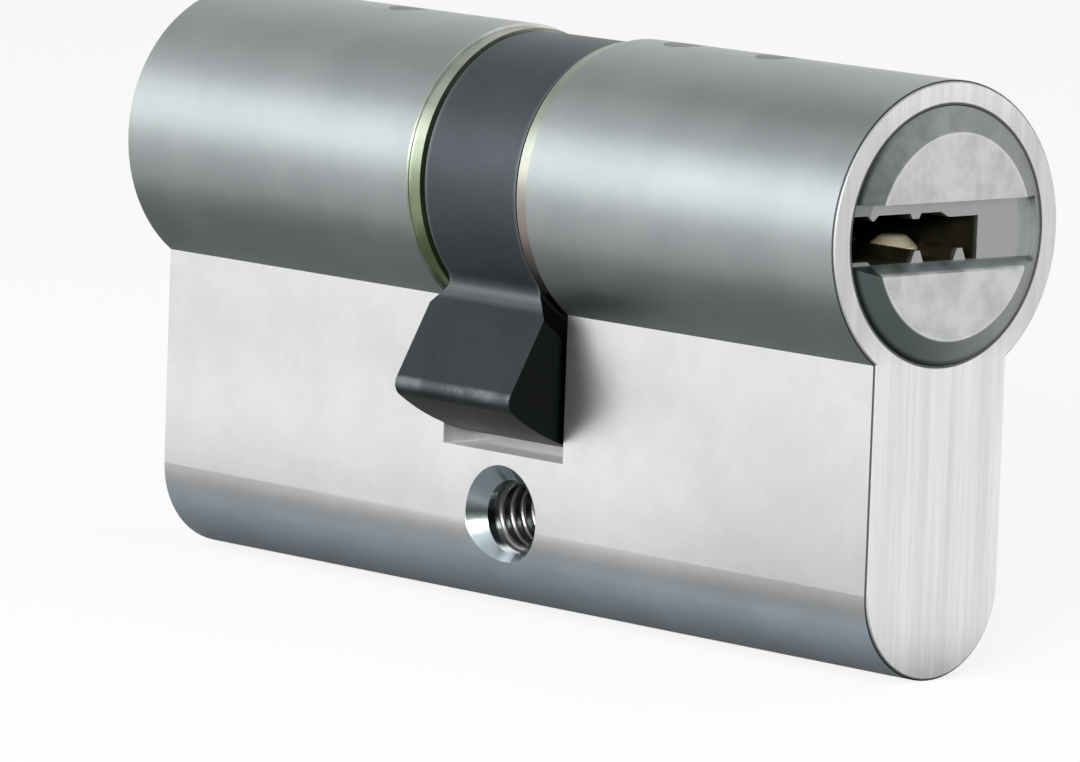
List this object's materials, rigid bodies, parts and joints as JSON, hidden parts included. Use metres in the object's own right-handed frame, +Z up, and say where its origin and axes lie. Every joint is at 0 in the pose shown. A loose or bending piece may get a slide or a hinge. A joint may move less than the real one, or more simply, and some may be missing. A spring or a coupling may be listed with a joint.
{
  "type": "security lock cylinder",
  "caption": "Profile lock cylinder: a plug at each end with a flat keyway, a turning cam with a lever in the middle gap and a cross hole for the fixing screw.",
  "frame": {"origin": "centre of the fixing screw hole, midway through the stem and in the middle of the cam gap", "axes": "+X along the plug axis towards the front plug's nose, +Y across the stem along the screw hole, +Z up from the screw hole towards the plugs"},
  "size_m": [0.0614, 0.0175, 0.033],
  "materials": {
    "housing_nickel": "satin nickel plate on brass",
    "plug_nickel": "brushed nickel plate on brass",
    "ring_zinc": "yellow passivated zinc",
    "cam_dark_steel": "blackened sintered steel",
    "coupler_steel": "plain steel",
    "pin_brass": "turned brass",
    "driver_steel": "turned steel",
    "spring_steel": "drawn wire",
    "strip_brass": "filed flush",
    "top_plug_nickel": "filed flush, nickel plated"
  },
  "bodies": {
    "housing": {"housing": "housing_nickel", "front_driver_spring_1": "spring_steel", "front_driver_spring_2": "spring_steel", "front_driver_spring_3": "spring_steel", "front_driver_spring_4": "spring_steel", "front_driver_spring_5": "spring_steel", "front_chamber_strip": "strip_brass", "front_top_plugs": "top_plug_nickel", "rear_driver_spring_1": "spring_steel", "rear_driver_spring_2": "spring_steel", "rear_driver_spring_3": "spring_steel", "rear_driver_spring_4": "spring_steel", "rear_driver_spring_5": "spring_steel", "rear_chamber_strip": "strip_brass", "rear_top_plugs": "top_plug_nickel"},
    "front_plug": {"front_plug": "plug_nickel", "front_retaining_ring": "ring_zinc"},
    "rear_plug": {"rear_plug": "plug_nickel", "rear_retaining_ring": "ring_zinc"},
    "cam": {"cam": "cam_dark_steel"},
    "cam_coupler": {"cam_coupler": "coupler_steel"},
    "front_core_pin_1": {"front_core_pin_1": "pin_brass"},
    "front_driver_pin_1": {"front_driver_pin_1": "driver_steel"},
    "front_core_pin_2": {"front_core_pin_2": "pin_brass"},
    "front_driver_pin_2": {"front_driver_pin_2": "driver_steel"},
    "front_core_pin_3": {"front_core_pin_3": "pin_brass"},
    "front_driver_pin_3": {"front_driver_pin_3": "driver_steel"},
    "front_core_pin_4": {"front_core_pin_4": "pin_brass"},
    "front_driver_pin_4": {"front_driver_pin_4": "driver_steel"},
    "front_core_pin_5": {"front_core_pin_5": "pin_brass"},
    "front_driver_pin_5": {"front_driver_pin_5": "driver_steel"},
    "rear_core_pin_1": {"rear_core_pin_1": "pin_brass"},
    "rear_driver_pin_1": {"rear_driver_pin_1": "driver_steel"},
    "rear_core_pin_2": {"rear_core_pin_2": "pin_brass"},
    "rear_driver_pin_2": {"rear_driver_pin_2": "driver_steel"},
    "rear_core_pin_3": {"rear_core_pin_3": "pin_brass"},
    "rear_driver_pin_3": {"rear_driver_pin_3": "driver_steel"},
    "rear_core_pin_4": {"rear_core_pin_4": "pin_brass"},
    "rear_driver_pin_4": {"rear_driver_pin_4": "driver_steel"},
    "rear_core_pin_5": {"rear_core_pin_5": "pin_brass"},
    "rear_driver_pin_5": {"rear_driver_pin_5": "driver_steel"}
  },
  "joints": [
    {"name": "front_plug_turn", "type": "hinge", "parent": "housing", "child": "front_plug", "pos_m": [0, 0, 0.019], "axis": [1, 0, 0], "continuous": true},
    {"name": "rear_plug_turn", "type": "hinge", "parent": "housing", "child": "rear_plug", "pos_m": [0, 0, 0.019], "axis": [1, 0, 0], "continuous": true},
    {"name": "cam_turn", "type": "hinge", "parent": "housing", "child": "cam", "pos_m": [0, 0, 0.019], "axis": [1, 0, 0], "continuous": true},
    {"name": "coupler_slide", "type": "slide", "parent": "cam", "child": "cam_coupler", "axis": [1, 0, 0], "range_m": [-0.001, 0]},
    {"name": "front_core_pin_1_lift", "type": "slide", "parent": "front_plug", "child": "front_core_pin_1", "axis": [0, 0, 1], "range_m": [0, 0.0008]},
    {"name": "front_driver_pin_1_press", "type": "slide", "parent": "housing", "child": "front_driver_pin_1", "axis": [0, 0, -1], "range_m": [0, 0.0025], "stiffness_N_per_m": 100, "springref_m": -0.002, "deforming": ["front_driver_spring_1"]},
    {"name": "front_core_pin_2_lift", "type": "slide", "parent": "front_plug", "child": "front_core_pin_2", "axis": [0, 0, 1], "range_m": [0, 0.0008]},
    {"name": "front_driver_pin_2_press", "type": "slide", "parent": "housing", "child": "front_driver_pin_2", "axis": [0, 0, -1], "range_m": [0, 0.0025], "stiffness_N_per_m": 100, "springref_m": -0.002, "deforming": ["front_driver_spring_2"]},
    {"name": "front_core_pin_3_lift", "type": "slide", "parent": "front_plug", "child": "front_core_pin_3", "axis": [0, 0, 1], "range_m": [0, 0.0008]},
    {"name": "front_driver_pin_3_press", "type": "slide", "parent": "housing", "child": "front_driver_pin_3", "axis": [0, 0, -1], "range_m": [0, 0.0025], "stiffness_N_per_m": 100, "springref_m": -0.002, "deforming": ["front_driver_spring_3"]},
    {"name": "front_core_pin_4_lift", "type": "slide", "parent": "front_plug", "child": "front_core_pin_4", "axis": [0, 0, 1], "range_m": [0, 0.0008]},
    {"name": "front_driver_pin_4_press", "type": "slide", "parent": "housing", "child": "front_driver_pin_4", "axis": [0, 0, -1], "range_m": [0, 0.0025], "stiffness_N_per_m": 100, "springref_m": -0.002, "deforming": ["front_driver_spring_4"]},
    {"name": "front_core_pin_5_lift", "type": "slide", "parent": "front_plug", "child": "front_core_pin_5", "axis": [0, 0, 1], "range_m": [0, 0.0008]},
    {"name": "front_driver_pin_5_press", "type": "slide", "parent": "housing", "child": "front_driver_pin_5", "axis": [0, 0, -1], "range_m": [0, 0.0025], "stiffness_N_per_m": 100, "springref_m": -0.002, "deforming": ["front_driver_spring_5"]},
    {"name": "rear_core_pin_1_lift", "type": "slide", "parent": "rear_plug", "child": "rear_core_pin_1", "axis": [0, 0, 1], "range_m": [0, 0.0008]},
    {"name": "rear_driver_pin_1_press", "type": "slide", "parent": "housing", "child": "rear_driver_pin_1", "axis": [0, 0, -1], "range_m": [0, 0.0025], "stiffness_N_per_m": 100, "springref_m": -0.002, "deforming": ["rear_driver_spring_1"]},
    {"name": "rear_core_pin_2_lift", "type": "slide", "parent": "rear_plug", "child": "rear_core_pin_2", "axis": [0, 0, 1], "range_m": [0, 0.0008]},
    {"name": "rear_driver_pin_2_press", "type": "slide", "parent": "housing", "child": "rear_driver_pin_2", "axis": [0, 0, -1], "range_m": [0, 0.0025], "stiffness_N_per_m": 100, "springref_m": -0.002, "deforming": ["rear_driver_spring_2"]},
    {"name": "rear_core_pin_3_lift", "type": "slide", "parent": "rear_plug", "child": "rear_core_pin_3", "axis": [0, 0, 1], "range_m": [0, 0.0008]},
    {"name": "rear_driver_pin_3_press", "type": "slide", "parent": "housing", "child": "rear_driver_pin_3", "axis": [0, 0, -1], "range_m": [0, 0.0025], "stiffness_N_per_m": 100, "springref_m": -0.002, "deforming": ["rear_driver_spring_3"]},
    {"name": "rear_core_pin_4_lift", "type": "slide", "parent": "rear_plug", "child": "rear_core_pin_4", "axis": [0, 0, 1], "range_m": [0, 0.0008]},
    {"name": "rear_driver_pin_4_press", "type": "slide", "parent": "housing", "child": "rear_driver_pin_4", "axis": [0, 0, -1], "range_m": [0, 0.0025], "stiffness_N_per_m": 100, "springref_m": -0.002, "deforming": ["rear_driver_spring_4"]},
    {"name": "rear_core_pin_5_lift", "type": "slide", "parent": "rear_plug", "child": "rear_core_pin_5", "axis": [0, 0, 1], "range_m": [0, 0.0008]},
    {"name": "rear_driver_pin_5_press", "type": "slide", "parent": "housing", "child": "rear_driver_pin_5", "axis": [0, 0, -1], "range_m": [0, 0.0025], "stiffness_N_per_m": 100, "springref_m": -0.002, "deforming": ["rear_driver_spring_5"]}
  ],
  "couplings": [
    {"joint": "cam_turn", "follows": "front_plug_turn", "ratio": 1}
  ]
}
